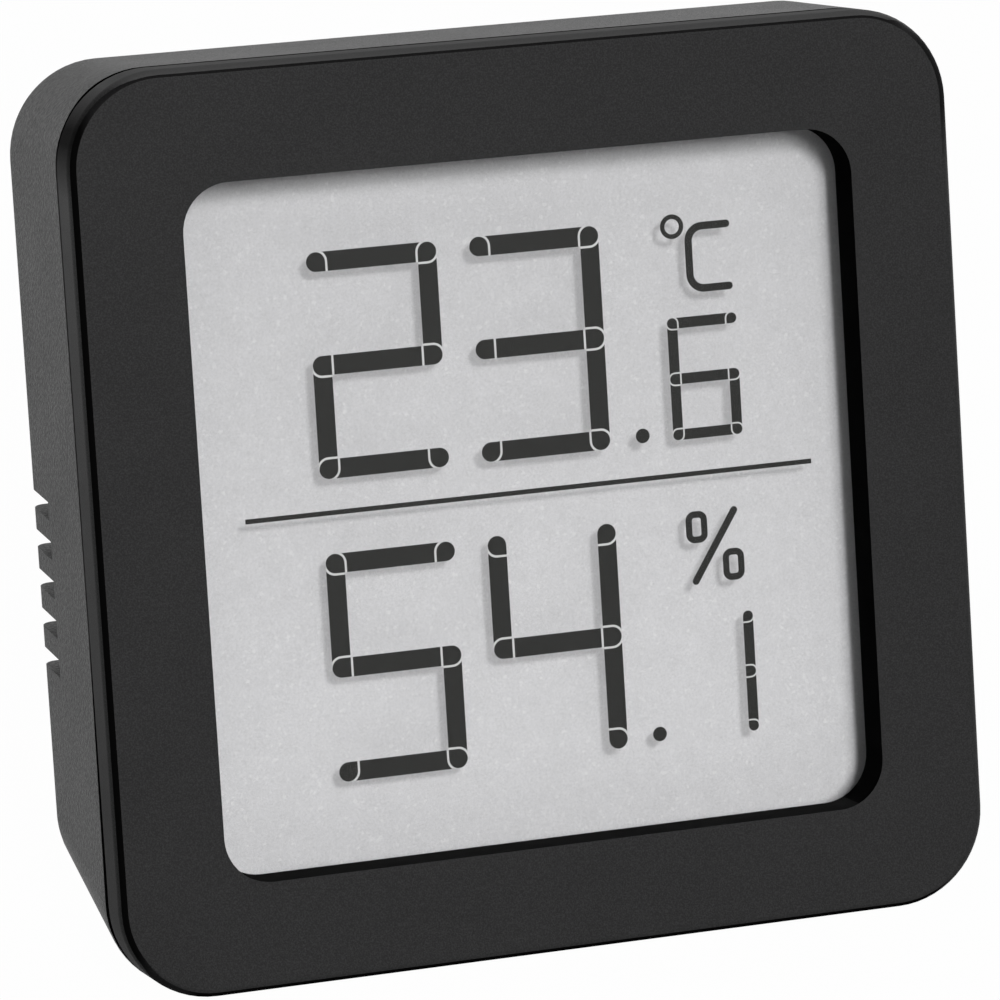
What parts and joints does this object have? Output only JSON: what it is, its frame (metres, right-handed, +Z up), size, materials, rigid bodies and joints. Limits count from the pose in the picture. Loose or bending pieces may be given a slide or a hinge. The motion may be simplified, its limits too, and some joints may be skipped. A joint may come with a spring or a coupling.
{
  "type": "temperature humidity sensor",
  "caption": "Square black desk sensor for temperature and humidity: recessed segment display, louvred rear edge, coin-cell door, unit button and fold-out stand.",
  "frame": {"origin": "middle of the sloping sole, on the desk, with the case leaning back on it and on its open stand", "axes": "+X to the right of someone facing the display, +Y away from them, +Z up; the case leans back by the sole's slope about X"},
  "size_m": [0.062, 0.0374, 0.0588],
  "materials": {
    "frame_plastic": "fine satin, moulded",
    "shell_plastic": "fine spark-eroded texture, moulded",
    "display_film": "clear with a matt face",
    "display_glass": "clear float glass",
    "reflector_foil": "grey, finely sparkling reflector",
    "carrier_plastic": "natural white, moulded",
    "strip_rubber": "soft striped silicone",
    "board_laminate": "green lacquered laminate",
    "screw_steel": "black zinc",
    "cell_steel": "bright nickel",
    "contact_metal": "nickel-plated spring bronze",
    "button_plastic": "satin, moulded",
    "switch_plastic": "satin, moulded",
    "sensor_plastic": "white moulded package",
    "resin": "glossy black resin",
    "can_metal": "bright drawn can",
    "chip_ceramic": "fired ceramic with tinned ends"
  },
  "bodies": {
    "case": {"front_frame": "frame_plastic", "rear_shell": "shell_plastic", "display_front_film": "display_film", "display_front_pane": "display_glass", "display_rear_pane": "display_glass", "display_reflector": "reflector_foil", "display_carrier": "carrier_plastic", "contact_strip": "strip_rubber", "circuit_board": "board_laminate", "case_screws": "screw_steel", "board_screws": "screw_steel", "coin_cell": "cell_steel", "battery_finger_contact": "contact_metal", "battery_side_contact": "contact_metal", "switch_body": "switch_plastic", "climate_sensor": "sensor_plastic", "controller": "resin", "watch_crystal": "can_metal", "chip_parts": "chip_ceramic"},
    "stand": {"stand": "shell_plastic"},
    "battery_door": {"battery_door": "shell_plastic"},
    "unit_button": {"unit_button": "button_plastic", "switch_plunger": "switch_plastic"}
  },
  "joints": [
    {"name": "stand_fold", "type": "hinge", "parent": "case", "child": "stand", "pos_m": [0, 0.01458, 0.025], "axis": [1, 0, 0], "range_deg": [-30.8, 0]},
    {"name": "battery_door_turn", "type": "hinge", "parent": "case", "child": "battery_door", "pos_m": [0.0158, 0.022, 0.03882], "axis": [0, 0.9272, -0.3746], "range_deg": [0, 35]},
    {"name": "unit_button_press", "type": "slide", "parent": "case", "child": "unit_button", "axis": [0, -0.9272, 0.3746], "range_m": [0, 0.0005], "stiffness_N_per_m": 1800}
  ]
}
